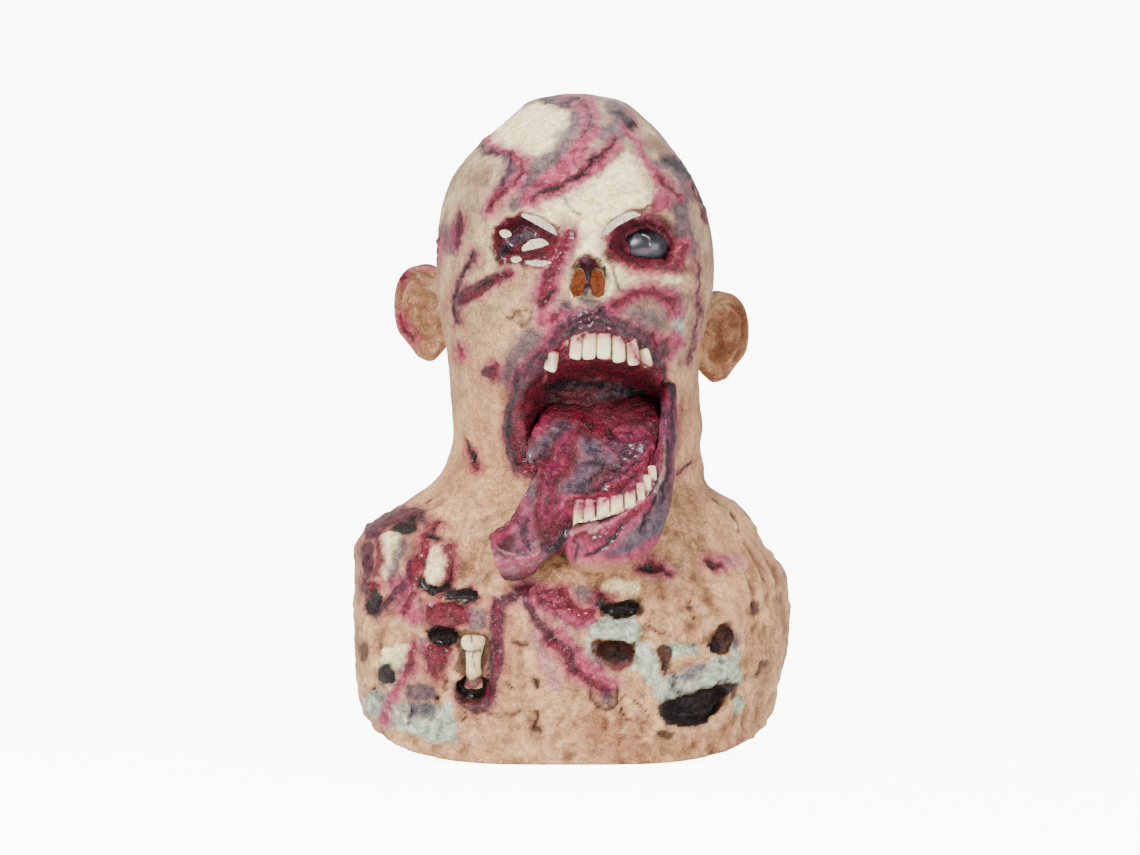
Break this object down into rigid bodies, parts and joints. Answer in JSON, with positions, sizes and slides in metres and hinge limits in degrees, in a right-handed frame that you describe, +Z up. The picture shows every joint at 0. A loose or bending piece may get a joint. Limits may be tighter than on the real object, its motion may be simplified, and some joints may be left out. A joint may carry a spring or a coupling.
{
  "type": "horror mask",
  "caption": "Full-head hollow latex mask of a rotting ghoul with ears, neck and chest bib, a dropped jaw and a long torn tongue.",
  "frame": {"origin": "middle of the mask's footprint, on the surface that its chest rim stands on", "axes": "+Z up to the crown, -Y is the way the face looks, +X is to the right as seen from the front"},
  "size_m": [0.2992, 0.2546, 0.455],
  "materials": {
    "latex_skin": "painted latex, satin, with wet red wounds",
    "dead_eye": "glossy painted latex, clouded grey blue",
    "tooth": "satin painted latex, cream",
    "jaw_flesh": "wet painted latex, plum",
    "tongue_flesh": "wet painted latex, crimson and plum",
    "bone": "satin painted latex, cream"
  },
  "bodies": {
    "root": {"mask_skin": "latex_skin", "eyeball": "dead_eye", "upper_teeth": "tooth", "lower_jaw": "jaw_flesh", "lower_teeth": "tooth", "tongue": "tongue_flesh", "rib_bone": "bone"}
  },
  "joints": []
}
